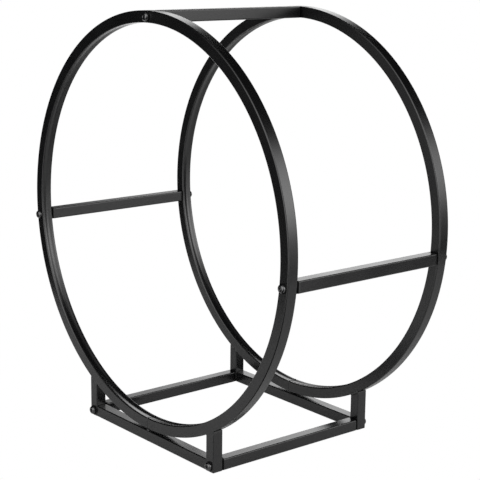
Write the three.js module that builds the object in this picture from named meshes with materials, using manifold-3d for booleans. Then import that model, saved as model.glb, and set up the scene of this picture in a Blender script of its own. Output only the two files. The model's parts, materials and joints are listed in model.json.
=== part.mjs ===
// Firewood log rack: two square-tube hoops on a rectangular foot frame, joined by crossbars.
// Millimetres. +X runs along the hoops, +Y from the front hoop to the rear hoop, +Z up.
// The origin is on the floor, under the middle of the rack.
import * as THREE from 'three';
import { mergeVertices } from 'three/addons/utils/BufferGeometryUtils.js';
import Module from 'manifold-3d';

// ---------------------------------------------------------------- driving dimensions
const TUBE = 19; // outside of the square tube
const WALL = 1.5; // tube wall
const EDGE = 1.6; // chamfer that stands for the rounded tube edges
const HOOP_RADIUS = 345; // to the outside of the hoop
const HOOP_CENTRE = 367; // height of the hoop's centre above the floor
const DEPTH = 334; // front face of the front hoop to back face of the rear hoop
const BASE_WIDTH = 350; // over the outsides of the foot posts
const SIDE_BAR_HEIGHT = 334; // centre of the left and right crossbars above the floor
const HOOP_STEPS = 72; // straight facets round a hoop
const DENT_WIDTH = 8; // groove that roll bending leaves along the hoop's inner wall
const DENT_DEPTH = 1.2;
const COPE_GAP = 0.3; // between a post's hollowed top and the hoop above it
const POST_FLOOR = 1.5; // plate that closes a post's lower end

const SCREW = { shank: 4, length: 40, headRadius: 7, headHeight: 4.4, rim: 1.1, crown: 4.2 };
const SOCKET = { acrossFlats: 5, depth: 2.6 };
const WASHER = { outer: 8, inner: 4.3, thickness: 1.6 };
const NUT = { side: 13, thickness: 6.5, hole: 4.3 };
const INSERT = { flange: 3, flangeSide: 18.6, length: 15, pocketSide: 13.6, pocketDepth: 7, hole: 4.3 };
const PLAY = 0.2; // between an insert's plug and the tube round it
const SCREW_HOLE = 4.5; // radius of the holes through the hoops and posts
const ROUND_STEPS = 12; // facets round a screw, washer or hole

// ---------------------------------------------------------------- places worked out from them
const HALF_TUBE = TUBE / 2;
const FACE = DEPTH / 2; // distance of a hoop's outer face from the middle
const BAR_END = FACE - TUBE; // where a bar's insert meets the hoop or post
const BAR_LENGTH = 2 * (BAR_END - INSERT.flange);
const TUBE_LINE = HOOP_RADIUS - HALF_TUBE; // radius of the hoop tube's centre line
const POST_X = BASE_WIDTH / 2 - HALF_TUBE;
const RAIL_LENGTH = BASE_WIDTH - 2 * TUBE;
const TOP_BAR_HEIGHT = HOOP_CENTRE + TUBE_LINE;
const SIDE_BAR_X = Math.sqrt(TUBE_LINE ** 2 - (HOOP_CENTRE - SIDE_BAR_HEIGHT) ** 2);

const BARS = {
  top_crossbar: [0, TOP_BAR_HEIGHT],
  left_crossbar: [-SIDE_BAR_X, SIDE_BAR_HEIGHT],
  right_crossbar: [SIDE_BAR_X, SIDE_BAR_HEIGHT],
  left_side_rail: [-POST_X, HALF_TUBE],
  right_side_rail: [POST_X, HALF_TUBE],
};
const HOOP_BARS = ['top_crossbar', 'left_crossbar', 'right_crossbar'];
const ENDS = { front: -1, rear: 1 }; // sign of Y at each end of the rack
const SIDES = { left: -1, right: 1 }; // sign of X at each side of the rack

const wasm = await Module();
wasm.setup();

// ---------------------------------------------------------------- materials
const powderCoat = () => new THREE.MeshStandardMaterial({ color: 0x1d1d1e, roughness: 0.5, metalness: 0 });
const blackOxide = () => new THREE.MeshStandardMaterial({ color: 0x171717, roughness: 0.35, metalness: 0.8 });
const blackNylon = () => new THREE.MeshStandardMaterial({ color: 0x0c0c0c, roughness: 0.75, metalness: 0 });
const zincSteel = () => new THREE.MeshStandardMaterial({ color: 0xa8abad, roughness: 0.4, metalness: 1 });

// ---------------------------------------------------------------- solids that can be cut
function toSolid(geometry) {
  const bare = geometry.clone();
  bare.deleteAttribute('normal');
  bare.deleteAttribute('uv');
  const merged = mergeVertices(bare);
  const vertProperties = new Float32Array(merged.attributes.position.array);
  const triVerts = new Uint32Array(merged.index.array);
  return new wasm.Manifold(new wasm.Mesh({ numProp: 3, vertProperties, triVerts }));
}

function toGeometry(solid) {
  const mesh = solid.getMesh();
  const geometry = new THREE.BufferGeometry();
  geometry.setAttribute('position', new THREE.BufferAttribute(mesh.vertProperties, 3));
  geometry.setIndex(new THREE.BufferAttribute(mesh.triVerts, 1));
  return geometry;
}

function named(name, geometry, material) {
  const mesh = new THREE.Mesh(geometry, material);
  mesh.name = name;
  return mesh;
}

// A round cutter lying along Y through the point (x, z).
function roundCutter(radius, length, steps, x, z) {
  return toSolid(new THREE.CylinderGeometry(radius, radius, length, steps).translate(x, 0, z));
}

// ---------------------------------------------------------------- square tube
function squareOutline(half, edge) {
  const inner = half - edge;
  const corners = [
    [-inner, -half], [inner, -half], [half, -inner], [half, inner],
    [inner, half], [-inner, half], [-half, inner], [-half, -inner],
  ];
  return corners.map(([x, y]) => new THREE.Vector2(x, y));
}

function squareLoop(half) {
  return [[-half, -half], [half, -half], [half, half], [-half, half]].map(([x, y]) => new THREE.Vector2(x, y));
}

// A straight open-ended tube, centred on the origin and running along Z.
function straightTube(length) {
  const section = new THREE.Shape(squareOutline(HALF_TUBE, EDGE));
  section.holes.push(new THREE.Path(squareLoop(HALF_TUBE - WALL)));
  const tube = new THREE.ExtrudeGeometry(section, { depth: length, bevelEnabled: false });
  return tube.translate(0, 0, -length / 2);
}

// ---------------------------------------------------------------- hoops
// Radius and Y of the rolled tube's section, with the shallow dent in its inner wall.
function hoopSection() {
  const inner = HOOP_RADIUS - TUBE;
  const flat = HALF_TUBE - EDGE;
  const points = [
    [inner, -flat], [inner + EDGE, -HALF_TUBE], [HOOP_RADIUS - EDGE, -HALF_TUBE], [HOOP_RADIUS, -flat],
    [HOOP_RADIUS, flat], [HOOP_RADIUS - EDGE, HALF_TUBE], [inner + EDGE, HALF_TUBE], [inner, flat],
    [inner, DENT_WIDTH / 2], [inner + DENT_DEPTH, 0], [inner, -DENT_WIDTH / 2],
  ];
  return points.map(([r, y]) => new THREE.Vector2(r, y));
}

function hoopBore() {
  const low = HOOP_RADIUS - TUBE + DENT_DEPTH + WALL;
  const high = HOOP_RADIUS - WALL;
  const half = HALF_TUBE - WALL;
  return [[low, -half], [high, -half], [high, half], [low, half]].map(([r, y]) => new THREE.Vector2(r, y));
}

function ring(section) {
  return toSolid(new THREE.LatheGeometry([...section, section[0]], HOOP_STEPS));
}

function hoop() {
  let solid = ring(hoopSection()).subtract(ring(hoopBore()));
  for (const bar of HOOP_BARS) {
    const [x, z] = BARS[bar];
    solid = solid.subtract(roundCutter(SCREW_HOLE, 2 * TUBE, ROUND_STEPS, x, z - HOOP_CENTRE));
  }
  return toGeometry(solid);
}

// ---------------------------------------------------------------- foot posts
// A short upright tube with a closed foot; its top is hollowed to the outside of the hoop.
function post(side) {
  const body = new THREE.Shape(squareOutline(HALF_TUBE, EDGE));
  const bore = new THREE.Shape(squareLoop(HALF_TUBE - WALL));
  const tall = { depth: HOOP_CENTRE, bevelEnabled: false };
  const bulk = new THREE.ExtrudeGeometry(body, tall).translate(side * POST_X, 0, 0);
  const inside = new THREE.ExtrudeGeometry(bore, tall).translate(side * POST_X, 0, POST_FLOOR);
  const solid = toSolid(bulk)
    .subtract(roundCutter(HOOP_RADIUS + COPE_GAP, 2 * TUBE, HOOP_STEPS, 0, HOOP_CENTRE))
    .subtract(toSolid(inside))
    .subtract(roundCutter(SCREW_HOLE, 2 * TUBE, ROUND_STEPS, side * POST_X, HALF_TUBE));
  return toGeometry(solid);
}

// ---------------------------------------------------------------- screws, washers, inserts, nuts
// A button-head socket screw along Y: head towards -Y, underside of the head at y = 0.
function buttonScrew() {
  const { shank, length, headRadius, headHeight, rim, crown } = SCREW;
  const tip = 1;
  const dome = new THREE.QuadraticBezierCurve(
    new THREE.Vector2(headRadius, -rim),
    new THREE.Vector2(headRadius - 0.6, -headHeight),
    new THREE.Vector2(crown, -headHeight),
  );
  const profile = [
    new THREE.Vector2(0, -headHeight),
    ...dome.getPoints(3).reverse(),
    new THREE.Vector2(headRadius, 0),
    new THREE.Vector2(shank, 0),
    new THREE.Vector2(shank, length - tip),
    new THREE.Vector2(shank - tip, length),
    new THREE.Vector2(0, length),
  ];
  const socketRadius = SOCKET.acrossFlats / Math.sqrt(3);
  const socket = new THREE.CylinderGeometry(socketRadius, socketRadius, 2 * SOCKET.depth, 6);
  socket.translate(0, -headHeight, 0);
  return toGeometry(toSolid(new THREE.LatheGeometry(profile, ROUND_STEPS)).subtract(toSolid(socket)));
}

// A flat washer along Y, from y = 0 to its thickness.
function washer() {
  const { outer, inner, thickness } = WASHER;
  const section = [[inner, 0], [outer, 0], [outer, thickness], [inner, thickness], [inner, 0]];
  return new THREE.LatheGeometry(section.map(([r, y]) => new THREE.Vector2(r, y)), ROUND_STEPS);
}

// A block with its section in XZ, running along Y from one y to another.
function blockAlongY(outline, from, to) {
  const block = new THREE.ExtrudeGeometry(new THREE.Shape(outline), { depth: to - from, bevelEnabled: false });
  return toSolid(block.rotateX(-Math.PI / 2).translate(0, from, 0));
}

// A bar's end insert along Y: flange at y = 0, then the plug with its pocket for the nut.
function insert() {
  const { flange, flangeSide, length, pocketSide, pocketDepth, hole } = INSERT;
  const solid = blockAlongY(squareOutline(flangeSide / 2, EDGE), 0, flange)
    .add(blockAlongY(squareLoop(HALF_TUBE - WALL - PLAY), flange, length))
    .subtract(blockAlongY(squareLoop(pocketSide / 2), length - pocketDepth, 2 * length))
    .subtract(roundCutter(hole, 4 * length, ROUND_STEPS, 0, 0));
  return toGeometry(solid);
}

// A square nut along Y, from y = 0 to its thickness.
function squareNut() {
  const solid = blockAlongY(squareLoop(NUT.side / 2), 0, NUT.thickness)
    .subtract(roundCutter(NUT.hole, 4 * NUT.thickness, ROUND_STEPS, 0, 0));
  return toGeometry(solid);
}

// ---------------------------------------------------------------- the rack
const rack = new THREE.Group();

for (const [end, sign] of Object.entries(ENDS)) {
  const frame = new THREE.Group();
  frame.position.y = sign * (FACE - HALF_TUBE);

  const ringMesh = named(`${end}_hoop`, hoop(), powderCoat());
  ringMesh.position.z = HOOP_CENTRE;
  frame.add(ringMesh);

  const rail = named(`${end}_foot_rail`, straightTube(RAIL_LENGTH).rotateY(Math.PI / 2), powderCoat());
  rail.position.z = HALF_TUBE;
  frame.add(rail);

  for (const [side, across] of Object.entries(SIDES)) {
    frame.add(named(`${end}_${side}_post`, post(across), powderCoat()));
  }
  rack.add(frame);
}

for (const [bar, [x, z]] of Object.entries(BARS)) {
  const tube = named(bar, straightTube(BAR_LENGTH).rotateX(-Math.PI / 2), powderCoat());
  tube.position.set(x, 0, z);
  rack.add(tube);

  for (const [end, sign] of Object.entries(ENDS)) {
    // Built for the front end; the rear end is the same set turned half round.
    const turn = sign > 0 ? Math.PI : 0;
    const fastening = new THREE.Group();
    fastening.position.set(x, 0, z);
    fastening.rotation.z = turn;

    const screwMesh = named(`${bar}_${end}_screw`, buttonScrew(), blackOxide());
    screwMesh.position.y = -FACE - WASHER.thickness;
    const washerMesh = named(`${bar}_${end}_washer`, washer(), blackOxide());
    washerMesh.position.y = -FACE - WASHER.thickness;
    const insertMesh = named(`${bar}_${end}_insert`, insert(), blackNylon());
    insertMesh.position.y = -BAR_END;
    const nutMesh = named(`${bar}_${end}_nut`, squareNut(), zincSteel());
    nutMesh.position.y = -BAR_END + INSERT.length - INSERT.pocketDepth + PLAY;
    fastening.add(screwMesh, washerMesh, insertMesh, nutMesh);
    rack.add(fastening);
  }
}

export default rack;
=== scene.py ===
# %% [markdown]
# # A firewood log rack
# The real rack is two hoops rolled from square steel tube. They stand on a low foot frame with
# four short posts, and three crossbars are screwed between them. Everything is powder coated black.
# The CAD model could be shown as it is, but its tube edges are plain chamfers. A black finish is
# read almost only by the way its edges and hollows catch the light. So each piece is built again
# here in mesh code, with rounded edges, the dent that rolling leaves, weld beads and real screws,
# in the places and at the sizes that the CAD frame gives.

# %% Load the frame
import json
from math import acos, asin, atan2, cos, floor, pi, radians, sin, sqrt

import bmesh
import bpy
from mathutils import Matrix, Vector

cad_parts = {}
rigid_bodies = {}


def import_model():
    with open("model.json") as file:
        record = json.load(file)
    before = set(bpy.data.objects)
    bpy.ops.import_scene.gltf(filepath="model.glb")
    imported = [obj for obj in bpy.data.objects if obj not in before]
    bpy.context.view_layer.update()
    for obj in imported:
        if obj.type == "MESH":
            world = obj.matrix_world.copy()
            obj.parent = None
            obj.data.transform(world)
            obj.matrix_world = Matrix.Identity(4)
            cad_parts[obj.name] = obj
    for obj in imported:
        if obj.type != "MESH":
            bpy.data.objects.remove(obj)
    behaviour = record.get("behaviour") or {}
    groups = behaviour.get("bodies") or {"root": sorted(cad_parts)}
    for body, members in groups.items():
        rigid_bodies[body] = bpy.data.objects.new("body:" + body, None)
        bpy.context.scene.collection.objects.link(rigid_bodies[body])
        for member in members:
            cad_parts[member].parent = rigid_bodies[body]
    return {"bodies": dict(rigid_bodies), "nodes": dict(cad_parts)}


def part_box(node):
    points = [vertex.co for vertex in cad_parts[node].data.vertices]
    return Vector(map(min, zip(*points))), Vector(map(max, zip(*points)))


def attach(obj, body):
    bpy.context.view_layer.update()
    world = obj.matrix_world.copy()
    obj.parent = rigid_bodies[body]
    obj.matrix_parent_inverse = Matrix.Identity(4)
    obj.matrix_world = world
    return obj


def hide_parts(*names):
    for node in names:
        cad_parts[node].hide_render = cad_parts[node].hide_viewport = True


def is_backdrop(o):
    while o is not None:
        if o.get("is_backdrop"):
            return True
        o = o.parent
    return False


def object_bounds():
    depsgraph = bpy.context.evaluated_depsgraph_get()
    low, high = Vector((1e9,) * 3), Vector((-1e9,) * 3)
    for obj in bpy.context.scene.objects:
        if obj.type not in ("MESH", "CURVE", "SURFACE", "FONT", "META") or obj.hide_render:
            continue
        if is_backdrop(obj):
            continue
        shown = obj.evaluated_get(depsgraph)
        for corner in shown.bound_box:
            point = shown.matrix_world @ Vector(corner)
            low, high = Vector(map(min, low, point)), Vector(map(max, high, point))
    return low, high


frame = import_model()
cad_low, cad_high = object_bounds()
BODY = list(frame["bodies"])[0]
print("pieces in the frame:", len(frame["nodes"]), "on the body", BODY)

# %% [markdown]
# ## Sizes
# The frame knows where every tube starts and stops, so the sizes are read from its boxes. They could
# be typed in again, but then the two models could drift apart. Only what the boxes can't tell is
# chosen here: the tube's wall, the drilled holes, how round the edges are and how soft a sawn end is.

# %% Sizes read from the frame
MM = 0.001
hoop_low, hoop_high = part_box("front_hoop")
HOOP_RADIUS = (hoop_high.x - hoop_low.x) / 2
HOOP_CENTRE = (hoop_high.z + hoop_low.z) / 2
TUBE = hoop_high.y - hoop_low.y
FACE = -hoop_low.y  # from the middle of the rack to a hoop's outer face
CENTRE_LINE = HOOP_RADIUS - TUBE / 2
print(f"hoop radius {HOOP_RADIUS / MM:.1f} mm, tube {TUBE / MM:.1f} mm, depth {2 * FACE / MM:.1f} mm")

# %% Sides of the rack and the bars that run from front to rear
SIGN = {"front": -1, "rear": 1, "left": -1, "right": 1}
HOOP_BARS = ("top_crossbar", "left_crossbar", "right_crossbar")
SIDE_RAILS = ("left_side_rail", "right_side_rail")


def middle_of(node):
    """The (x, z) that a node along Y is centred on."""
    low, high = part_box(node)
    return (low.x + high.x) / 2, (low.z + high.z) / 2


for bar in HOOP_BARS + SIDE_RAILS:
    x, z = middle_of(bar)
    print(f"{bar}: x {x / MM:.1f} mm, {z / MM:.1f} mm above the floor")

# %% Sizes that the boxes can't tell
WALL = 1.5 * MM
EDGE = 1.7 * MM  # radius of the tube's long edges
BORE_EDGE = 1.1 * MM
SAWN_EDGE = 0.6 * MM  # softness of a sawn and coated tube end
HOLE = 4.5 * MM
print(f"flat width of a tube's side: {(TUBE - 2 * EDGE) / MM:.1f} mm")

# %% [markdown]
# ## Rings and lofts
# Tube, screw, washer and nut all have the same build: an outline that is carried along a line and
# changes a little on the way. Blender's own primitives could be bevelled, but a bevel rounds every
# edge alike. A loft gives each edge its own softness, so one helper skins a list of rings.
# The shoulder points beside each corner keep the flats flat when the mesh is shaded smooth.

# %% A square outline with rounded corners
ARC_STEPS = 6
SHOULDER = 0.35 * MM  # a point on each flat, just beside its corner


def square_outline(side, corner):
    """Points round a square with rounded corners, with a shoulder point at each end of a flat."""
    reach = side / 2 - corner
    shoulder = min(SHOULDER, reach / 2)
    first = [Vector((side / 2, reach - shoulder))]
    for step in range(ARC_STEPS + 1):
        angle = step / ARC_STEPS * pi / 2
        first.append(Vector((reach + corner * cos(angle), reach + corner * sin(angle))))
    first.append(Vector((reach - shoulder, side / 2)))
    points = []
    for quarter in range(4):
        turn = Matrix.Rotation(quarter * pi / 2, 2)
        points += [turn @ point for point in first]
    return points


TUBE_OUTLINE = square_outline(TUBE, EDGE)
print("points round a tube:", len(TUBE_OUTLINE))

# %% Round and hexagonal outlines
def even_rays(count):
    """Directions spread evenly round a circle."""
    turns = [2 * pi * (k + 0.5) / count for k in range(count)]
    return [Vector((cos(turn), sin(turn))) for turn in turns]


def round_outline(radius, rays):
    """A circle with one point on each ray."""
    return [ray * radius for ray in rays]


def hex_outline(across_flats, rays):
    """A hexagon with one point on each ray."""
    points = []
    for ray in rays:
        from_flat = (atan2(ray.y, ray.x) + pi / 6) % (pi / 3) - pi / 6
        points.append(ray * (across_flats / 2 / cos(from_flat)))
    return points


RAYS = even_rays(len(TUBE_OUTLINE))  # for holes that a square outline grows from
FINE_RAYS = even_rays(72)
print("points round a small hole:", len(RAYS), "and round a screw:", len(FINE_RAYS))

# %% Skin a list of rings
def holds_volume(faces):
    """Signed volume inside some faces: negative when they look inwards."""
    total = 0.0
    for face in faces:
        first, *others = [vert.co for vert in face.verts]
        total += sum(first.dot(a.cross(b)) for a, b in zip(others, others[1:])) / 6
    return total


def skin(mesh, rings, joined=False):
    """Faces from each ring to the next. Joined rings close on themselves; others get end caps."""
    rows = [[mesh.verts.new(point) for point in ring] for ring in rings]
    count = len(rows[0])
    made = []
    for index in range(len(rows) if joined else len(rows) - 1):
        near, far = rows[index], rows[(index + 1) % len(rows)]
        for k in range(count):
            after = (k + 1) % count
            made.append(mesh.faces.new((near[k], near[after], far[after], far[k])))
    if not joined:
        made.append(mesh.faces.new(list(reversed(rows[0]))))
        made.append(mesh.faces.new(rows[-1]))
    if holds_volume(made) < 0:
        bmesh.ops.reverse_faces(mesh, faces=made)
    return made


trial = bmesh.new()
skin(trial, [[Vector((p.x, p.y, z * MM)) for p in TUBE_OUTLINE] for z in (0, 10)])
print("10 mm of solid bar holds", round(trial.calc_volume() / MM ** 3), "cubic mm")
trial.free()

# %% Turn a mesh into a piece
def piece_from(name, mesh):
    """A Blender object made from a finished bmesh."""
    data = bpy.data.meshes.new(name)
    mesh.to_mesh(data)
    mesh.free()
    piece = bpy.data.objects.new(name, data)
    bpy.context.scene.collection.objects.link(piece)
    return piece


def lofted(name, rings, joined=False):
    """One closed piece from one list of rings."""
    mesh = bmesh.new()
    skin(mesh, rings, joined)
    return piece_from(name, mesh)


# %% [markdown]
# ## Holes
# The screws pass through holes drilled in both walls of a hoop or post. A hole could be left out,
# since its screw hides it, but then the two solids would run through each other. A ring of faces
# could be modelled round each hole, but a Boolean with the exact solver cuts curved and flat walls
# alike, so it is used here and applied at once.

# %% Drill holes along Y
def drilled(piece, centres, radius=HOLE, segments=32):
    """Cuts round holes along Y through a piece, each centred on one (x, z)."""
    mesh = bmesh.new()
    circle = [Vector((cos(k * 2 * pi / segments), sin(k * 2 * pi / segments))) for k in range(segments)]
    for x, z in centres:
        ends = [[Vector((x + p.x * radius, y, z + p.y * radius)) for p in circle] for y in (-1, 1)]
        skin(mesh, ends)
    drill = piece_from("drill", mesh)
    cut = piece.modifiers.new("holes", "BOOLEAN")
    cut.operation = "DIFFERENCE"
    cut.solver = "EXACT"
    cut.object = drill
    bpy.context.view_layer.update()
    plain = piece.data
    evaluated = piece.evaluated_get(bpy.context.evaluated_depsgraph_get())
    piece.data = bpy.data.meshes.new_from_object(evaluated)
    piece.modifiers.remove(cut)
    bpy.data.objects.remove(drill)
    bpy.data.meshes.remove(plain)
    return piece


print(f"holes are {2 * HOLE / MM:.0f} mm across, for an 8 mm screw")

# %% [markdown]
# ## Handing pieces over
# Every piece is finished in the same way, so one helper does it. It shades the piece smooth, but
# keeps real edges sharp, gives it its finish, and hides the CAD nodes that it stands for. Smooth
# shading alone would smear light across the square corners of a small piece.

# %% Hand a piece over to the frame
SHARP_ANGLE = radians(34)


def finished(piece, material, slot, *nodes):
    """Smooth shading, one finish, and the CAD nodes that the piece stands for."""
    piece.data.shade_smooth()
    piece.data.set_sharp_from_angle(angle=SHARP_ANGLE)
    piece.data.materials.clear()
    piece.data.materials.append(material)
    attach(piece, BODY)
    if nodes:
        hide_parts(*nodes)
    return piece


print("pieces ride on:", BODY)

# %% [markdown]
# ## Finishes
# Powder coat is a baked plastic skin. It shrinks a little as it melts, which leaves an orange-peel
# skin of low waves about a millimetre or two across, with a finer speckle on top. The same grain in
# other sizes makes the moulded skin of the nylon and the coating on the screws, so it is one shader
# group with named inputs, placed in each material with its own values. It could be a painted
# texture, but noise in object space needs no unwrapping and is as fine as it needs to be anywhere.

# %% The shared grain
def grain_group():
    """Waves and speckle in object space: a height, and a shade from 0 to 1 that drifts slowly."""
    group = bpy.data.node_groups.new("coating_grain", "ShaderNodeTree")
    sockets = group.interface
    for label, value in (("Wave Scale", 600.0), ("Speckle Scale", 2500.0), ("Speckle Share", 0.3),
                         ("Drift Scale", 12.0)):
        socket = sockets.new_socket(label, in_out="INPUT", socket_type="NodeSocketFloat")
        socket.default_value = value
    for label in ("Height", "Speckle", "Drift"):
        sockets.new_socket(label, in_out="OUTPUT", socket_type="NodeSocketFloat")
    nodes, links = group.nodes, group.links
    inputs = nodes.new("NodeGroupInput")
    outputs = nodes.new("NodeGroupOutput")
    place = nodes.new("ShaderNodeTexCoord")

    def noise(scale, detail):
        node = nodes.new("ShaderNodeTexNoise")
        node.inputs["Detail"].default_value = detail
        links.new(place.outputs["Object"], node.inputs["Vector"])
        links.new(inputs.outputs[scale], node.inputs["Scale"])
        return node.outputs["Fac"]

    waves = noise("Wave Scale", 1.0)
    speckle = noise("Speckle Scale", 2.0)
    height = nodes.new("ShaderNodeMix")
    links.new(inputs.outputs["Speckle Share"], height.inputs["Factor"])
    links.new(waves, height.inputs["A"])
    links.new(speckle, height.inputs["B"])
    links.new(height.outputs["Result"], outputs.inputs["Height"])
    links.new(speckle, outputs.inputs["Speckle"])
    links.new(noise("Drift Scale", 3.0), outputs.inputs["Drift"])
    return group


GRAIN = grain_group()
print("grain group inputs:", [item.name for item in GRAIN.interface.items_tree])

# %% A coated material
def coated(name, dark, light, rough, bump, grain, metallic=0.0, mirror=0.5):
    """A Principled finish whose colour and roughness drift slightly, with the grain as a bump."""
    material = bpy.data.materials.new(name)
    material.use_nodes = True
    nodes, links = material.node_tree.nodes, material.node_tree.links
    shader = nodes["Principled BSDF"]
    shader.inputs["Metallic"].default_value = metallic
    shader.inputs["IOR"].default_value = 1.5
    shader.inputs["Specular IOR Level"].default_value = mirror

    skin_grain = nodes.new("ShaderNodeGroup")
    skin_grain.node_tree = GRAIN
    for label, value in grain.items():
        skin_grain.inputs[label].default_value = value

    colour = nodes.new("ShaderNodeMix")
    colour.data_type = "RGBA"
    colour.inputs[6].default_value = (*dark, 1)
    colour.inputs[7].default_value = (*light, 1)
    links.new(skin_grain.outputs["Speckle"], colour.inputs["Factor"])
    links.new(colour.outputs[2], shader.inputs["Base Color"])

    gloss = nodes.new("ShaderNodeMapRange")
    gloss.inputs["From Min"].default_value = 0.3
    gloss.inputs["From Max"].default_value = 0.7
    gloss.inputs["To Min"].default_value = rough[0]
    gloss.inputs["To Max"].default_value = rough[1]
    links.new(skin_grain.outputs["Drift"], gloss.inputs["Value"])
    links.new(gloss.outputs["Result"], shader.inputs["Roughness"])

    relief = nodes.new("ShaderNodeBump")
    relief.inputs["Strength"].default_value = bump
    relief.inputs["Distance"].default_value = 0.1 * MM
    links.new(skin_grain.outputs["Height"], relief.inputs["Height"])
    links.new(relief.outputs["Normal"], shader.inputs["Normal"])
    return material


print("every coated material uses the group:", GRAIN.name)

# %% [markdown]
# ## Five finishes
# All the tubes share one satin black powder coat. The same black could serve for everything, but
# then the screws would melt into the tubes. So the screws get a smoother, glossier coating, and
# their domes catch a small bright crescent. The washers are dull, which leaves a dark ring round
# each head. The nylon inserts are duller still and show as black bands, and the nuts inside are
# zinc plated. The look of a black finish is almost all reflection, so the black ones differ mostly
# in roughness and in how strongly they mirror, and hardly in base colour.

# %% Powder coat, screw, washer, nylon and zinc
POWDER_COAT = coated(
    "satin_black_powder_coat", (0.0015, 0.0015, 0.0016), (0.0045, 0.0045, 0.0048), (0.22, 0.28), 0.13,
    {"Wave Scale": 520.0, "Speckle Scale": 1900.0, "Speckle Share": 0.35, "Drift Scale": 14.0})
BLACK_SCREW = coated(
    "black_coated_screw_steel", (0.002, 0.002, 0.002), (0.006, 0.006, 0.007), (0.08, 0.12), 0.05,
    {"Wave Scale": 900.0, "Speckle Scale": 3200.0, "Speckle Share": 0.4, "Drift Scale": 90.0},
    mirror=1.0)
BLACK_WASHER = coated(
    "dull_black_washer", (0.001, 0.001, 0.001), (0.003, 0.003, 0.003), (0.5, 0.6), 0.2,
    {"Wave Scale": 900.0, "Speckle Scale": 3200.0, "Speckle Share": 0.4, "Drift Scale": 90.0},
    mirror=0.1)
BLACK_NYLON = coated(
    "moulded_black_nylon", (0.0005, 0.0005, 0.0005), (0.0015, 0.0015, 0.0015), (0.6, 0.75), 0.4,
    {"Wave Scale": 1500.0, "Speckle Scale": 4200.0, "Speckle Share": 0.5, "Drift Scale": 60.0},
    mirror=0.03)
ZINC = coated(
    "bright_zinc_plate", (0.52, 0.53, 0.55), (0.62, 0.63, 0.64), (0.25, 0.4), 0.2,
    {"Wave Scale": 700.0, "Speckle Scale": 3000.0, "Speckle Share": 0.5, "Drift Scale": 120.0},
    metallic=1.0)
FINISHES = (POWDER_COAT, BLACK_SCREW, BLACK_WASHER, BLACK_NYLON, ZINC)
print("finishes:", [finish.name for finish in FINISHES])

# %% [markdown]
# ## The hoops
# Each hoop is one length of square tube, rolled into a ring and butt-welded at the bottom. Rolling
# squeezes the inner wall until it sinks into a shallow dent all the way round. The weld is ground
# flush on the faces that show, which leaves a faint groove, and a small ridge is left inside.
# A ring could be made with a curve and a bevel object, but the weld needs a few close stations of
# its own, so the stations are listed and the section is skinned from one to the next.

# %% The rolled section
DENT = 1.0 * MM
DENT_STEPS = 14


def rolled_section():
    """The tube's outline as (outwards, along Y) from the centre line, with its inner wall sunk."""
    half_flat = TUBE / 2 - EDGE
    section = []
    for point in TUBE_OUTLINE:
        section.append(point)
        last_before_inner_flat = point.x < 0 and point.y > 0 and abs(point.x + TUBE / 2) < 0.01 * MM
        if last_before_inner_flat and abs(point.y - (half_flat - SHOULDER)) < 0.01 * MM:
            for step in range(1, DENT_STEPS):
                across = (half_flat - SHOULDER) * (1 - 2 * step / DENT_STEPS)
                sunk = DENT * (1 + cos(pi * across / half_flat)) / 2
                section.append(Vector((-TUBE / 2 + sunk, across)))
    return section


SECTION = rolled_section()
print("points round a hoop's section:", len(SECTION))

# %% Stations round the hoop
STATIONS = 240
GROOVE = [0.0, 0.3, 0.6, 0.9, 1.3, 2.0, 3.2]  # mm each side of the weld


def station_angles():
    """Angles from the weld, close together at the weld and even elsewhere."""
    near = [step * MM / CENTRE_LINE for step in GROOVE]
    spacing = 2 * pi / STATIONS
    even = [k * spacing for k in range(1, STATIONS)]
    return near + even + [2 * pi - angle for angle in reversed(near[1:])]


def weld_relief(angle, inside):
    """How far the surface stands out or sinks at this angle from the weld."""
    from_weld = min(angle, 2 * pi - angle) * CENTRE_LINE / MM
    width, height = (2.0, 0.7) if inside else (1.1, -0.5)
    if from_weld > width:
        return 0.0
    return height * (1 + cos(pi * from_weld / width)) / 2 * MM


groove, ridge = weld_relief(0, inside=False), weld_relief(0, inside=True)
print("stations round a hoop:", len(station_angles()))
print(f"at the weld: outside {groove / MM:.1f} mm, inside {ridge / MM:.1f} mm")

# %% One hoop
def hoop_piece(name, centre_y, weld_x):
    """One hoop: the rolled tube, its hollow bore, and the holes for the crossbars' screws."""
    weld_angle = weld_x / HOOP_RADIUS
    half = TUBE / 2
    rings = []
    for angle in station_angles():
        around = angle + weld_angle
        outwards = Vector((sin(around), 0, -cos(around)))
        ring = []
        for u, v in SECTION:
            inside = u < -half + EDGE / 2 and abs(v) < half - EDGE
            relief = weld_relief(angle, inside)
            grow = 1 + relief / half
            radius = CENTRE_LINE + (u - relief if inside else u * grow)
            spot = outwards * radius
            ring.append(Vector((spot.x, centre_y + (v if inside else v * grow), HOOP_CENTRE + spot.z)))
        rings.append(ring)
    mesh = bmesh.new()
    skin(mesh, rings, joined=True)

    # The bore is a second skin that looks inwards.
    bore = square_outline(TUBE - 2 * WALL - 2 * DENT, BORE_EDGE)
    bore_rings = []
    for k in range(STATIONS // 2):
        around = k * 4 * pi / STATIONS
        outwards = Vector((sin(around), 0, -cos(around)))
        base = Vector((0, centre_y, HOOP_CENTRE))
        bore_rings.append([base + outwards * (CENTRE_LINE + u) + Vector((0, v, 0)) for u, v in bore])
    bore_faces = skin(mesh, bore_rings, joined=True)
    bmesh.ops.reverse_faces(mesh, faces=bore_faces)

    centres = [middle_of(bar) for bar in HOOP_BARS]
    return drilled(piece_from(name, mesh), centres)


print("holes drilled through a hoop:", len(HOOP_BARS))

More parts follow.
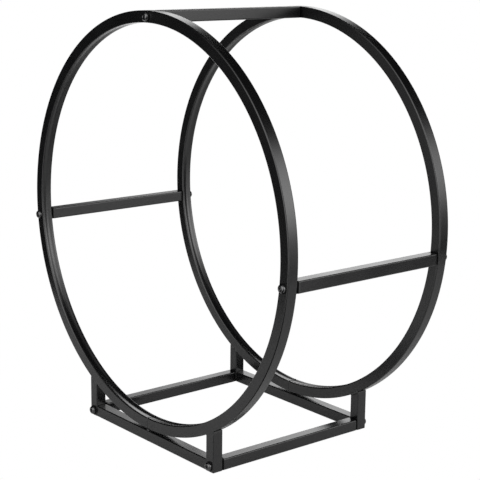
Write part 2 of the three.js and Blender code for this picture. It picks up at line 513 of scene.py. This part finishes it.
# %% Build both hoops
WELD_X = {"front": -2.5 * MM, "rear": -5 * MM}
for end in ("front", "rear"):
    hoop_y = SIGN[end] * (FACE - TUBE / 2)
    ring = hoop_piece(f"{end}_hoop_ring", hoop_y, WELD_X[end])
    finished(ring, POWDER_COAT, "powder_coat", f"{end}_hoop")
    print(ring.name, "faces:", len(ring.data.polygons))

# %% [markdown]
# ## Straight tubes
# The crossbars, side rails and foot rails are sawn lengths of the same tube, open at both ends.
# A box with a bevel would do from afar, but the sawn ends show where the dark inserts meet them, so
# each tube is skinned outside and inside, with a softened rim between the two walls.

# %% A sawn length of tube
def soft_edge(radius, steps=3):
    """(along, inset) pairs for a quarter-round edge, from the very end inwards."""
    turns = [k / steps * pi / 2 for k in range(steps + 1)]
    return [(radius * (1 - sin(a)), radius * (1 - cos(a))) for a in reversed(turns)]


def straight_tube(name, start, finish, across, up):
    """A hollow tube from start to finish; across and up are the directions of its section."""
    axis = (finish - start).normalized()
    length = (finish - start).length
    inner = square_outline(TUBE - 2 * WALL, BORE_EDGE)

    def ring(outline, along):
        return [start + axis * along + across * p.x + up * p.y for p in outline]

    softened = soft_edge(SAWN_EDGE)
    stations = softened + [(4 * MM, 0), (length / 2, 0), (length - 4 * MM, 0)]
    stations += [(length - along, inset) for along, inset in reversed(softened)]
    rings = []
    for along, inset in stations:
        outline = square_outline(TUBE - 2 * inset, EDGE - inset)
        rings.append(ring(outline, along))
    rings.append(ring(inner, length))
    rings.append(ring(inner, 0))
    return lofted(name, rings, joined=True)


print("rings in a sawn edge:", len(soft_edge(SAWN_EDGE)))

# %% Crossbars and side rails run along Y
for bar in HOOP_BARS + SIDE_RAILS:
    low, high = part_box(bar)
    x, z = middle_of(bar)
    tube = straight_tube(f"{bar}_tube", Vector((x, low.y, z)), Vector((x, high.y, z)),
                         Vector((1, 0, 0)), Vector((0, 0, 1)))
    finished(tube, POWDER_COAT, "powder_coat", bar)
print("tube length between inserts:", round((high.y - low.y) / MM, 1), "mm")

# %% Foot rails run along X
for end in ("front", "rear"):
    low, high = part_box(f"{end}_foot_rail")
    y, z = (low.y + high.y) / 2, (low.z + high.z) / 2
    rail = straight_tube(f"{end}_foot_rail_tube", Vector((low.x, y, z)), Vector((high.x, y, z)),
                         Vector((0, 1, 0)), Vector((0, 0, 1)))
    finished(rail, POWDER_COAT, "powder_coat", f"{end}_foot_rail")
RAIL_END = high.x
print("foot rail length:", round((high.x - low.x) / MM, 1), "mm")

# %% [markdown]
# ## Posts
# A post is a short upright length of tube with a plate closing its foot. Its top is notched to the
# round of the hoop, so the hoop sits down into it. The notch could be cut with a Boolean, but then
# its rim is as sharp as the cutter. Here every point of the outline gets its own height from the
# circle's formula, so the notched rim can be softened like the other sawn ends.

# %% A post with a notched top
NOTCH_GAP = 0.3 * MM
NOTCH_EDGE = 1.0 * MM
FOOT_PLATE = 1.5 * MM
FOOT_EDGE = 0.8 * MM


def hoop_height(x, gap=0.0):
    """Height of the underside of a hoop above the floor, this far from the middle."""
    return HOOP_CENTRE - sqrt((HOOP_RADIUS + gap) ** 2 - x ** 2)


def post_piece(name, centre_x, centre_y):
    """A closed foot, rounded walls, and a notched top with its hollow inside."""
    def ring(inset, height):
        outline = square_outline(TUBE - 2 * inset, max(EDGE - inset, BORE_EDGE))
        return [Vector((centre_x + p.x, centre_y + p.y, height(centre_x + p.x))) for p in outline]

    rings = []
    for along, inset in soft_edge(FOOT_EDGE):
        rings.append(ring(inset, lambda x, z=along: z))
    rings.append(ring(0, lambda x: 5 * MM))
    rings.append(ring(0, lambda x: hoop_height(x, NOTCH_GAP) - 6 * MM))
    for along, inset in reversed(soft_edge(NOTCH_EDGE)):
        rings.append(ring(inset, lambda x, drop=along: hoop_height(x, NOTCH_GAP) - drop))
    rings.append(ring(WALL, lambda x: hoop_height(x, NOTCH_GAP)))
    rings.append(ring(WALL, lambda x: FOOT_PLATE))
    return drilled(lofted(name, rings), [(centre_x, TUBE / 2)])


print(f"a notch follows a circle of radius {(HOOP_RADIUS + NOTCH_GAP) / MM:.1f} mm")

# %% Build the four posts
for end in ("front", "rear"):
    for side in ("left", "right"):
        node = f"{end}_{side}_post"
        low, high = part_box(node)
        post = post_piece(f"{node}_tube", (low.x + high.x) / 2, (low.y + high.y) / 2)
        finished(post, POWDER_COAT, "powder_coat", node)
print("post height:", round((high.z - low.z) / MM, 1), "mm")

# %% [markdown]
# ## Welds
# The posts are welded to the hoop above them and to the foot rail beside them, and one small tack
# joins the bottom of each hoop to the rail. On the outer faces the welds are ground flush and then
# coated, so they show only as a soft place without a joint line. In the corners the bead is left as
# it was laid, with low ripples. Rough noise on the tubes could stand for it, but a bead has a shape
# of its own: a round section carried along a path, and cut back where the face was ground.

# %% A bead along a path
RIPPLE = 1.3 * MM
BEAD_STEP = 0.5 * MM
BEAD_POINTS = 12


def even_path(corners, spacing):
    """Points at an even spacing along straight runs between corners, with the corners eased."""
    points = []
    for start, finish in zip(corners, corners[1:]):
        count = max(2, round((finish - start).length / spacing))
        points += [start.lerp(finish, k / count) for k in range(count)]
    points.append(corners[-1])
    for _ in range(3):
        eased = [(a + 2 * b + c) / 4 for a, b, c in zip(points, points[1:], points[2:])]
        points = [points[0]] + eased + [points[-1]]
    return points


def bead_piece(name, corners, radius, ground_y):
    """A weld bead with rounded ends and low ripples, ground off at |y| = ground_y."""
    path = even_path(corners, BEAD_STEP)
    rings = []
    travelled = 0.0
    for k, point in enumerate(path):
        ahead = path[min(k + 1, len(path) - 1)]
        behind = path[max(k - 1, 0)]
        axis = (ahead - behind).normalized()
        helper = Vector((0, 0, 1)) if abs(axis.z) < 0.9 else Vector((1, 0, 0))
        side = axis.cross(helper).normalized()
        over = side.cross(axis)
        travelled += (point - path[max(k - 1, 0)]).length
        to_end = min(k, len(path) - 1 - k) * BEAD_STEP
        taper = sqrt(max(0.04, 1 - max(0.0, 1 - to_end / radius) ** 2))
        swell = radius * taper * (1 + 0.05 * sin(2 * pi * travelled / RIPPLE))
        ring = []
        for j in range(BEAD_POINTS):
            angle = 2 * pi * j / BEAD_POINTS
            spot = point + (side * cos(angle) + over * sin(angle)) * swell
            spot.y = max(-ground_y, min(ground_y, spot.y))
            ring.append(spot)
        rings.append(ring)
    return lofted(name, rings)


straight = even_path([Vector((0, 0, 0)), Vector((TUBE, 0, 0))], BEAD_STEP)
print("rings in a bead across one tube:", len(straight))

# %% Welds from post to hoop, and from post to foot rail
FLUSH = 0.02 * MM
POST_BEAD = 2.6 * MM
RAIL_BEAD = 2.1 * MM
POST_BEAD_IN = 1.8 * MM  # from the faces of the tube to the middle of the bead
RAIL_BEAD_IN = 1.5 * MM
weld_beads = 0
for end in ("front", "rear"):
    for side in ("left", "right"):
        low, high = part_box(f"{end}_{side}_post")
        across = SIGN[side]
        y_out = SIGN[end] * (FACE - POST_BEAD_IN)
        y_in = SIGN[end] * (FACE - TUBE + POST_BEAD_IN)
        x_in = across * (min(abs(low.x), abs(high.x)) + 0.9 * MM)
        x_out = across * (max(abs(low.x), abs(high.x)) - 2.2 * MM)
        route = [(x_out, y_out), (x_in, y_out), (x_in, y_in), (x_out, y_in)]
        corners = [Vector((x, y, hoop_height(x, -0.3 * MM))) for x, y in route]
        bead = bead_piece(f"{end}_{side}_post_hoop_weld", corners, POST_BEAD, FACE + FLUSH)
        finished(bead, POWDER_COAT, "powder_coat")

        x_joint = across * (RAIL_END + 1.0 * MM)
        y_out = SIGN[end] * (FACE - RAIL_BEAD_IN)
        y_in = SIGN[end] * (FACE - TUBE + RAIL_BEAD_IN)
        low_z, high_z = 2.5 * MM, TUBE - RAIL_BEAD_IN
        corners = [Vector((x_joint, y, z)) for y, z in
                   ((y_out, low_z), (y_out, high_z), (y_in, high_z), (y_in, low_z))]
        bead = bead_piece(f"{end}_{side}_post_rail_weld", corners, RAIL_BEAD, FACE + FLUSH)
        finished(bead, POWDER_COAT, "powder_coat")
        weld_beads += 2
print("weld beads:", weld_beads)

# %% The tack under each hoop
TACK_RADIUS = 2.2 * MM
TACK_IN = 1.6 * MM  # from the hoop's outer face to the middle of the tack
TACK_PROUD = 0.3 * MM  # how far it may stand out from that face
TACK_SINK = 0.3 * MM  # how far it melts into the rail and the hoop
TACK_RINGS = 9
TACK_POINTS = 20


def tack_piece(name, x, y):
    """A waisted drop of weld between the top of the foot rail and the bottom of the hoop."""
    bottom, top = TUBE - TACK_SINK, hoop_height(x) + TACK_SINK
    rings = []
    for k in range(TACK_RINGS):
        share = k / (TACK_RINGS - 1)
        flare = 1 + 0.55 * (2 * share - 1) ** 2
        ring = []
        for j in range(TACK_POINTS):
            angle = 2 * pi * j / TACK_POINTS
            lump = 1 + 0.08 * sin(3 * angle + 4 * share) + 0.05 * sin(5 * angle)
            radius = TACK_RADIUS * flare * lump
            across = y + radius * sin(angle)
            across = max(-FACE - TACK_PROUD, min(FACE + TACK_PROUD, across))
            along = x + 1.1 * radius * cos(angle)
            ring.append(Vector((along, across, bottom + (top - bottom) * share)))
        rings.append(ring)
    return lofted(name, rings)


for end in ("front", "rear"):
    tack_y = SIGN[end] * (FACE - TACK_IN)
    tack = tack_piece(f"{end}_hoop_tack_weld", WELD_X[end], tack_y)
    finished(tack, POWDER_COAT, "powder_coat")
print("gap that a tack bridges:", round((hoop_height(0) - TUBE) / MM, 1), "mm")

# %% [markdown]
# ## Screws and washers
# Each bar is held at both ends by a button-head socket screw on a flat washer. A head could be a
# squashed sphere with a hexagon cut out, but the highlight on the crown and the small chamfer round
# the socket are what tell the eye it is a screw. So a screw is one loft from the bottom of its
# socket, over the crown and down the thread. Its rings all have a point on the same rays, so a
# round ring turns into a hexagon without a seam.

# %% Sizes of the fasteners
head_low, head_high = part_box("top_crossbar_front_screw")
washer_low, washer_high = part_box("top_crossbar_front_washer")
HEAD_RADIUS = (head_high.x - head_low.x) / 2
HEAD_TOP = -FACE - head_low.y  # how far a screw stands out from the face it clamps
WASHER_RADIUS = (washer_high.x - washer_low.x) / 2
WASHER_THICK = washer_high.y - washer_low.y
SCREW_REACH = head_high.y + FACE
print(f"head {2 * HEAD_RADIUS / MM:.1f} mm across, washer {2 * WASHER_RADIUS / MM:.1f} mm across")

# %% Put a fastener's rings in place
def at_end(bar, end, steps):
    """Rings at depths measured inwards from the outer face of a hoop or post."""
    x, z = middle_of(bar)
    way = -SIGN[end]
    rings = []
    for outline, depth in steps:
        rings.append([Vector((x + way * p.x, way * (depth - FACE), z + p.y)) for p in outline])
    return rings


print(f"a head stands {HEAD_TOP / MM:.1f} mm out, and the screw reaches {SCREW_REACH / MM:.1f} mm in")

# %% The screw's thread
SHANK = 3.9 * MM
THREAD_DEPTH = 0.65 * MM
PITCH = 1.25 * MM
PLAIN_SHANK = 16 * MM
RINGS_PER_TURN = 4


def thread_outline(depth):
    """The section of a screw thread at this depth: its radius rises and falls round the helix."""
    points = []
    for ray in FINE_RAYS:
        turn = depth / PITCH - atan2(ray.y, ray.x) / (2 * pi)
        into = abs(2 * (turn - floor(turn)) - 1)
        points.append(ray * (SHANK - THREAD_DEPTH * into))
    return points


print(f"turns of thread: {(SCREW_REACH - PLAIN_SHANK) / PITCH:.0f}")

# %% The screw's head and its whole length
SOCKET = 5 * MM
SOCKET_DEPTH = 2.6 * MM
CROWN = 3.8 * MM


def dome_steps(count=7):
    """The crown of the head, from its flat top round and down to the rim."""
    top, rim = -HEAD_TOP, -WASHER_THICK - 1.0 * MM
    start = Vector((CROWN, top))
    pull = Vector((HEAD_RADIUS - 0.55 * MM, top))
    finish = Vector((HEAD_RADIUS, rim))
    for k in range(count + 1):
        t = k / count
        radius, depth = start * (1 - t) ** 2 + pull * (2 * t * (1 - t)) + finish * t ** 2
        yield round_outline(radius, FINE_RAYS), depth


def screw_steps():
    """Outlines and depths from the bottom of the socket, over the head and down the shank."""
    floor_depth = -HEAD_TOP + SOCKET_DEPTH
    yield round_outline(0.3 * MM, FINE_RAYS), floor_depth + 0.7 * MM
    yield hex_outline(SOCKET - 0.1 * MM, FINE_RAYS), floor_depth
    yield hex_outline(SOCKET, FINE_RAYS), -HEAD_TOP + 0.45 * MM
    yield round_outline(SOCKET / 2 + 0.5 * MM, FINE_RAYS), -HEAD_TOP + 0.06 * MM
    yield round_outline(SOCKET / 2 + 0.65 * MM, FINE_RAYS), -HEAD_TOP
    yield from dome_steps()
    yield round_outline(HEAD_RADIUS, FINE_RAYS), -WASHER_THICK - 0.35 * MM
    yield round_outline(HEAD_RADIUS - 0.35 * MM, FINE_RAYS), -WASHER_THICK
    yield round_outline(SHANK, FINE_RAYS), -WASHER_THICK
    yield round_outline(SHANK, FINE_RAYS), PLAIN_SHANK
    depth = PLAIN_SHANK + 0.6 * MM
    while depth < SCREW_REACH - 1.2 * MM:
        yield thread_outline(depth), depth
        depth += PITCH / RINGS_PER_TURN
    yield round_outline(SHANK - THREAD_DEPTH, FINE_RAYS), SCREW_REACH - 1.0 * MM
    yield round_outline(SHANK - 1.4 * MM, FINE_RAYS), SCREW_REACH


print("rings in a screw:", len(list(screw_steps())))

# %% A flat washer
WASHER_BORE = 4.3 * MM
WASHER_SOFT = 0.3 * MM


def washer_steps():
    """Once round a washer's section: bore, outer face, rim and inner face."""
    soft = WASHER_SOFT
    for radius, depth in ((WASHER_BORE, 0), (WASHER_BORE, -WASHER_THICK + soft / 2),
                          (WASHER_BORE + soft / 2, -WASHER_THICK),
                          (WASHER_RADIUS - soft, -WASHER_THICK),
                          (WASHER_RADIUS - 0.3 * soft, -WASHER_THICK + 0.3 * soft),
                          (WASHER_RADIUS, -WASHER_THICK + soft), (WASHER_RADIUS, -soft),
                          (WASHER_RADIUS - soft, 0)):
        yield round_outline(radius, FINE_RAYS), depth


print(f"washer thickness {WASHER_THICK / MM:.1f} mm")

# %% [markdown]
# ## Inserts and nuts
# A black nylon insert is pressed into the end of each bar and holds a square nut that the screw
# pulls on. Only the insert's flange shows, as a black band between bar and hoop. The band could be
# painted on the tube, but a flange a little smaller than the tube leaves a real step, and the
# joint then looks right from every side. Both are lofts that go once round their own section. A
# square ring and a round ring have the same number of points, in the same order, so they join.

# %% A nylon end insert
FLANGE = 3 * MM
INSERT_LENGTH = 15 * MM
POCKET = 13.6 * MM
POCKET_DEPTH = 7 * MM
PLUG_PLAY = 0.2 * MM
flange_low, flange_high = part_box("top_crossbar_front_insert")


def insert_steps():
    """Once round an insert's section: hole, flange, plug and the pocket for the nut."""
    side = flange_high.x - flange_low.x
    face = TUBE
    plug = TUBE - 2 * WALL - 2 * PLUG_PLAY
    hole = round_outline(WASHER_BORE, RAYS)
    end = face + INSERT_LENGTH
    yield hole, face
    yield square_outline(side - 1.0 * MM, EDGE - 0.5 * MM), face
    yield square_outline(side - 0.3 * MM, EDGE - 0.2 * MM), face + 0.15 * MM
    yield square_outline(side, EDGE), face + 0.5 * MM
    yield square_outline(side, EDGE), face + FLANGE - 0.3 * MM
    yield square_outline(side - 0.6 * MM, EDGE - 0.3 * MM), face + FLANGE
    yield square_outline(plug, BORE_EDGE), face + FLANGE
    yield square_outline(plug, BORE_EDGE), end - 0.8 * MM
    yield square_outline(plug - 1.0 * MM, BORE_EDGE - 0.4 * MM), end
    yield square_outline(POCKET, 0.4 * MM), end
    yield square_outline(POCKET, 0.4 * MM), end - POCKET_DEPTH
    yield hole, end - POCKET_DEPTH


print(f"flange side {(flange_high.x - flange_low.x) / MM:.1f} mm")

# %% A square nut
nut_low, nut_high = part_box("top_crossbar_front_nut")


def nut_steps():
    """Once round a square nut's section, with its corners and its hole chamfered."""
    side = nut_high.x - nut_low.x
    near, far = nut_low.y + FACE, nut_high.y + FACE
    hole = round_outline(WASHER_BORE - 0.15 * MM, RAYS)
    mouth = round_outline(WASHER_BORE + 0.35 * MM, RAYS)
    face = square_outline(side - 1.0 * MM, 1.2 * MM)
    body = square_outline(side, 0.7 * MM)
    yield hole, near + 0.5 * MM
    yield mouth, near
    yield face, near
    yield body, near + 0.5 * MM
    yield body, far - 0.5 * MM
    yield face, far
    yield mouth, far
    yield hole, far - 0.5 * MM


print(f"nut side {(nut_high.x - nut_low.x) / MM:.1f} mm")

# %% Fasten every end of every bar
KIT = (
    ("button_screw", "screw", screw_steps, False, BLACK_SCREW, "black_fastener"),
    ("flat_washer", "washer", washer_steps, True, BLACK_WASHER, "black_fastener"),
    ("end_insert", "insert", insert_steps, True, BLACK_NYLON, "black_nylon"),
    ("square_nut", "nut", nut_steps, True, ZINC, "zinc_steel"),
)
for bar in HOOP_BARS + SIDE_RAILS:
    for end in ("front", "rear"):
        for new_name, node, steps, joined, finish_used, slot in KIT:
            fastener = lofted(f"{bar}_{end}_{new_name}", at_end(bar, end, steps()), joined)
            finished(fastener, finish_used, slot, f"{bar}_{end}_{node}")
print("fastener pieces:", len(KIT) * 2 * len(HOOP_BARS + SIDE_RAILS))

# %% [markdown]
# ## Camera
# The rack is seen from the right, a little above its middle. A short lens could stand closer, but
# it would swell the near hoop. A long lens keeps the two hoops almost the same size.

# %% Aim the camera
AZIMUTH = radians(50.637)
ELEVATION = radians(12.537)
ROLL = radians(0.613)
DISTANCE = 1.98379
LENS = 100.68
TARGET = Vector((0.2356, -FACE, 0.3879))

back = Vector((sin(AZIMUTH) * cos(ELEVATION), -cos(AZIMUTH) * cos(ELEVATION), sin(ELEVATION)))
camera = bpy.data.objects.new("camera", bpy.data.cameras.new("camera"))
camera.data.lens = LENS
camera.location = TARGET + back * DISTANCE
camera.rotation_mode = "QUATERNION"
aim = (-back).to_track_quat("-Z", "Y").to_matrix() @ Matrix.Rotation(ROLL, 3, "Z")
camera.rotation_quaternion = aim.to_quaternion()
bpy.context.scene.collection.objects.link(camera)
bpy.context.scene.camera = camera
print("camera at", [round(v, 3) for v in camera.location])

# %% [markdown]
# ## Floor
# The rack stands on a thin white board, which all its lower faces mirror. A plain endless plane
# would do, but it would put the same white into every edge, and the corners would vanish. So one
# quarter of the board is cut away in front of the right corner, which keeps the corner edges dark.
# Two black cards lie behind the left ends of the foot rails, where the left posts mirror the floor.
# They are painted shadow: they darken that floor in place of the shadow the rails would cast there.
# The camera sees the board as plain white, without shadows, and doesn't see the cards.

# %% A white board for the floor
BOARD_RADIUS = 1.15
BOARD_CENTRE = Vector((0, 0.2, 0))
BOARD_THICK = 2 * MM
CUT_CORNER = Vector((0.2, -0.2, 0))  # where the missing quarter starts


def floor_board(segments=96):
    """A thin round board with one quarter cut away. Its upper face is the floor."""
    mesh = bmesh.new()
    start = asin((CUT_CORNER.y - BOARD_CENTRE.y) / BOARD_RADIUS)
    finish = 2 * pi - acos((CUT_CORNER.x - BOARD_CENTRE.x) / BOARD_RADIUS)
    turns = [start + (finish - start) * k / segments for k in range(segments + 1)]
    rim = [BOARD_CENTRE + Vector((BOARD_RADIUS * cos(a), BOARD_RADIUS * sin(a), 0)) for a in turns]
    rim.append(CUT_CORNER)
    rings = [[point + Vector((0, 0, height)) for point in rim] for height in (-BOARD_THICK, 0.0)]
    skin(mesh, rings)
    return piece_from("studio_floor", mesh)


board = floor_board()
print("floor board:", 2 * BOARD_RADIUS, "m across")

# %% The board's white
def white_board():
    """Matt white to the rack and its light, and plain white to the camera."""
    material = bpy.data.materials.new("white_board")
    material.use_nodes = True
    nodes, links = material.node_tree.nodes, material.node_tree.links
    shader = nodes["Principled BSDF"]
    shader.inputs["Base Color"].default_value = (0.82, 0.82, 0.82, 1)
    shader.inputs["Roughness"].default_value = 0.9
    plain = nodes.new("ShaderNodeEmission")
    plain.inputs["Color"].default_value = (1, 1, 1, 1)
    path = nodes.new("ShaderNodeLightPath")
    choice = nodes.new("ShaderNodeMixShader")
    links.new(path.outputs["Is Camera Ray"], choice.inputs["Fac"])
    links.new(shader.outputs["BSDF"], choice.inputs[1])
    links.new(plain.outputs["Emission"], choice.inputs[2])
    links.new(choice.outputs["Shader"], nodes["Material Output"].inputs["Surface"])
    return material


board.data.materials.append(white_board())
board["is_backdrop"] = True
print("the board's finish:", board.data.materials[0].name)

# %% Black cards on the floor, as painted shadow
# Each card is painted shadow: a dark patch where the rails' shadow would fall on the floor that the
# left posts mirror.
PAINTED_SHADOW_CARDS = {"front": (-0.13, -0.04, -0.145, -0.055), "rear": (-0.13, -0.03, 0.17, 0.27)}
CARD_BOTTOM, CARD_TOP = 0.2 * MM, 0.6 * MM


def painted_shadow_card(name, x_start, x_end, y_start, y_end):
    """A thin black card that only the rack can see: painted shadow on the floor that the rack mirrors.
    """
    mesh = bmesh.new()
    corners = ((x_start, y_start), (x_end, y_start), (x_end, y_end), (x_start, y_end))
    skin(mesh, [[Vector((x, y, z)) for x, y in corners] for z in (CARD_BOTTOM, CARD_TOP)])
    card = piece_from(name, mesh)
    card.visible_camera = False
    return card


PAINTED_SHADOW_BLACK = bpy.data.materials.new("painted_shadow_card")
PAINTED_SHADOW_BLACK.use_nodes = True
card_shader = PAINTED_SHADOW_BLACK.node_tree.nodes["Principled BSDF"]
# Near-black and without gloss, so that the card reads as shadow in the rack's reflections: painted
# shadow.
card_shader.inputs["Base Color"].default_value = (0.002, 0.002, 0.002, 1)
card_shader.inputs["Specular IOR Level"].default_value = 0.0
for end, edges in PAINTED_SHADOW_CARDS.items():
    card = painted_shadow_card(f"{end}_painted_shadow_card", *edges)
    card.data.materials.append(PAINTED_SHADOW_BLACK)
    card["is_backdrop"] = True
print("black cards:", len(PAINTED_SHADOW_CARDS))

# %% [markdown]
# ## Light
# Black coated steel shows hardly any colour of its own, so it is lit by what it mirrors. A single
# large lamp would light it evenly and flatten it. So the studio has soft panels of light with
# darkness between them: each face then mirrors one panel or the dark, and the rounded edges draw a
# line between the two. Lamps could be hung for the panels, but on the world they stay out of the
# way from every side. Behind the rack the camera sees plain white instead of the panels.

# %% Soft panels of light
# Where each panel's middle is, seen from the rack (turned from +X towards +Y, and up from the
# horizon), how far its light reaches from there, and how bright it is.
PANELS = {
    "right_wall": (15, 5, 40, 1.6),
    "right_window": (35, 20, 25, 3.5),
    "strip_behind_left": (135, 20, 15, 2.4),
    "low_front_left": (240, -5, 15, 1.2),
    "front_softbox": (280, 15, 50, 2.8),
    "high_front_right": (340, 45, 35, 2.0),
    "bright_floor_left": (160, -25, 25, 2.2),
    "overhead": (0, 90, 20, 0.8),
}
PANEL_CORE = 0.35  # share of a panel's reach that has its full brightness


def panel_light(nodes, links, direction, panel):
    """Brightness of one soft panel in the direction that a ray leaves the rack."""
    turn, rise, reach, bright = panel
    turn, rise = radians(turn), radians(rise)
    facing = nodes.new("ShaderNodeVectorMath")
    facing.operation = "DOT_PRODUCT"
    facing.inputs[1].default_value = (cos(turn) * cos(rise), sin(turn) * cos(rise), sin(rise))
    links.new(direction, facing.inputs[0])
    fade = nodes.new("ShaderNodeMapRange")
    fade.interpolation_type = "SMOOTHSTEP"
    fade.inputs["From Min"].default_value = cos(radians(reach))
    fade.inputs["From Max"].default_value = cos(radians(reach * PANEL_CORE))
    fade.inputs["To Max"].default_value = bright
    links.new(facing.outputs["Value"], fade.inputs["Value"])
    return fade.outputs["Result"]


print("the brightest panel is", max(PANELS, key=lambda name: PANELS[name][3]))

# %% The studio world
def studio_world():
    """The panels for every ray but the camera's own, which sees plain white."""
    world = bpy.data.worlds.new("studio")
    world.use_nodes = True
    nodes, links = world.node_tree.nodes, world.node_tree.links
    place = nodes.new("ShaderNodeTexCoord")
    total = None
    for panel in PANELS.values():
        bright = panel_light(nodes, links, place.outputs["Generated"], panel)
        if total is None:
            total = bright
            continue
        add = nodes.new("ShaderNodeMath")
        links.new(total, add.inputs[0])
        links.new(bright, add.inputs[1])
        total = add.outputs["Value"]
    mirrored = nodes["Background"]
    mirrored.inputs["Color"].default_value = (1, 1, 1, 1)
    links.new(total, mirrored.inputs["Strength"])
    seen = nodes.new("ShaderNodeBackground")
    seen.inputs["Color"].default_value = (1, 1, 1, 1)
    path = nodes.new("ShaderNodeLightPath")
    choice = nodes.new("ShaderNodeMixShader")
    links.new(path.outputs["Is Camera Ray"], choice.inputs["Fac"])
    links.new(mirrored.outputs["Background"], choice.inputs[1])
    links.new(seen.outputs["Background"], choice.inputs[2])
    links.new(choice.outputs["Shader"], nodes["World Output"].inputs["Surface"])
    return world


bpy.context.scene.world = studio_world()
bpy.context.scene.view_settings.view_transform = "Standard"
print("panels:", ", ".join(PANELS))

# %% [markdown]
# ## Size against the CAD model
# Rounded edges and welds must not make the rack larger than its CAD model. That could be judged by
# eye, but two boxes are surer: the one from the start and the one of the finished pieces are
# compared, and how far the second grows beyond the first is printed.

# %% Compare the boxes
low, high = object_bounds()
grown = [round((new - old) / MM, 2) for new, old in zip(high - low, cad_high - cad_low)]
print("grown beyond the CAD box (mm):", grown)
